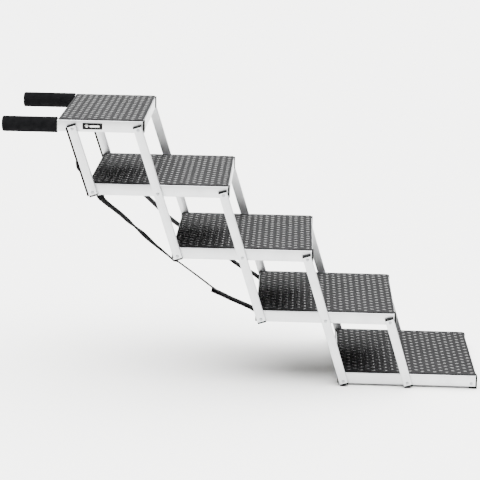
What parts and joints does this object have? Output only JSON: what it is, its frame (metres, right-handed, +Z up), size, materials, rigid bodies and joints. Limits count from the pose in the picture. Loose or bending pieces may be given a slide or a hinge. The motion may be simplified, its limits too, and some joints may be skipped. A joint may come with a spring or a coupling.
{
  "type": "folding pet stairs",
  "caption": "Folding pet stairs for a vehicle: rubber-matted aluminium treads on parallel link bars, with foam handles at the top.",
  "frame": {"origin": "on the floor, under the centre of the whole object's box", "axes": "+X from the top tread down to the bottom tread, +Y to the far side, +Z up"},
  "size_m": [1.2708, 0.4118, 0.7122],
  "materials": {
    "aluminium": "satin anodised",
    "mat_rubber": "moulded with small raised studs",
    "panel": "black-faced plywood",
    "foam": "soft foam",
    "strip_rubber": "matt",
    "foot_plastic": "moulded",
    "black_plastic": "plain plate",
    "webbing": "woven"
  },
  "bodies": {
    "tread_1": {"rail_1_near": "aluminium", "rail_1_far": "aluminium", "crossbar_1_rear": "aluminium", "crossbar_1_front": "aluminium", "deck_1": "panel", "mat_1": "mat_rubber", "handle_tube_near": "aluminium", "handle_tube_far": "aluminium", "grip_near": "foam", "grip_far": "foam", "badge_plate": "black_plastic"},
    "tread_2": {"rail_2_near": "aluminium", "rail_2_far": "aluminium", "crossbar_2_rear": "aluminium", "crossbar_2_front": "aluminium", "deck_2": "panel", "mat_2": "mat_rubber", "strap_upper_near": "webbing", "strap_upper_far": "webbing"},
    "tread_3": {"rail_3_near": "aluminium", "rail_3_far": "aluminium", "crossbar_3_rear": "aluminium", "crossbar_3_front": "aluminium", "deck_3": "panel", "mat_3": "mat_rubber", "strap_lower_near": "webbing", "strap_lower_far": "webbing"},
    "tread_4": {"rail_4_near": "aluminium", "rail_4_far": "aluminium", "crossbar_4_rear": "aluminium", "crossbar_4_front": "aluminium", "deck_4": "panel", "mat_4": "mat_rubber"},
    "tread_5": {"rail_5_near": "aluminium", "rail_5_far": "aluminium", "crossbar_5_rear": "aluminium", "crossbar_5_front": "aluminium", "deck_5": "panel", "mat_5": "mat_rubber", "front_foot_near": "foot_plastic", "front_foot_far": "foot_plastic"},
    "link_1": {"link_1_near": "aluminium", "link_1_far": "aluminium", "bumper_strip_near": "strip_rubber", "bumper_strip_far": "strip_rubber", "strap_tail_near": "webbing"},
    "link_2": {"link_2_near": "aluminium", "link_2_far": "aluminium"},
    "link_3": {"link_3_near": "aluminium", "link_3_far": "aluminium"},
    "link_4": {"link_4_near": "aluminium", "link_4_far": "aluminium", "foot_plug_4_near": "foot_plastic", "foot_plug_4_far": "foot_plastic"},
    "link_5": {"link_5_near": "aluminium", "link_5_far": "aluminium", "foot_plug_5_near": "foot_plastic", "foot_plug_5_far": "foot_plastic"}
  },
  "joints": [
    {"name": "fold", "type": "hinge", "parent": "tread_5", "child": "link_4", "pos_m": [0.27585, 0, 0.01394], "axis": [0, 1, 0], "range_deg": [0, 94.6], "deforming": ["strap_tail_near", "strap_upper_near", "strap_lower_near", "strap_upper_far", "strap_lower_far", "grip_near", "grip_far"]},
    {"name": "fold_link_5", "type": "hinge", "parent": "tread_5", "child": "link_5", "pos_m": [0.44785, 0, 0.01394], "axis": [0, 1, 0], "range_deg": [0, 94.6]},
    {"name": "fold_tread_4", "type": "hinge", "parent": "link_5", "child": "tread_4", "pos_m": [0.39525, 0, 0.18179], "axis": [0, 1, 0], "range_deg": [-94.6, 0]},
    {"name": "fold_tread_3", "type": "hinge", "parent": "link_4", "child": "tread_3", "pos_m": [0.17065, 0, 0.34964], "axis": [0, 1, 0], "range_deg": [-94.6, 0]},
    {"name": "fold_link_3", "type": "hinge", "parent": "tread_4", "child": "link_3", "pos_m": [0.05125, 0, 0.18179], "axis": [0, 1, 0], "range_deg": [0, 94.6]},
    {"name": "fold_link_2", "type": "hinge", "parent": "tread_3", "child": "link_2", "pos_m": [-0.17335, 0, 0.34964], "axis": [0, 1, 0], "range_deg": [0, 94.6]},
    {"name": "fold_tread_2", "type": "hinge", "parent": "link_2", "child": "tread_2", "pos_m": [-0.22595, 0, 0.51749], "axis": [0, 1, 0], "range_deg": [-94.6, 0]},
    {"name": "fold_tread_1", "type": "hinge", "parent": "link_2", "child": "tread_1", "pos_m": [-0.27855, 0, 0.68534], "axis": [0, 1, 0], "range_deg": [-94.6, 0]},
    {"name": "fold_link_1", "type": "hinge", "parent": "tread_2", "child": "link_1", "pos_m": [-0.39795, 0, 0.51749], "axis": [0, 1, 0], "range_deg": [0, 94.6]}
  ],
  "couplings": [
    {"joint": "fold_link_5", "follows": "fold", "ratio": 1},
    {"joint": "fold_tread_4", "follows": "fold", "ratio": -1},
    {"joint": "fold_tread_3", "follows": "fold", "ratio": -1},
    {"joint": "fold_link_3", "follows": "fold", "ratio": 1},
    {"joint": "fold_link_2", "follows": "fold", "ratio": 1},
    {"joint": "fold_tread_2", "follows": "fold", "ratio": -1},
    {"joint": "fold_tread_1", "follows": "fold", "ratio": -1},
    {"joint": "fold_link_1", "follows": "fold", "ratio": 1}
  ]
}
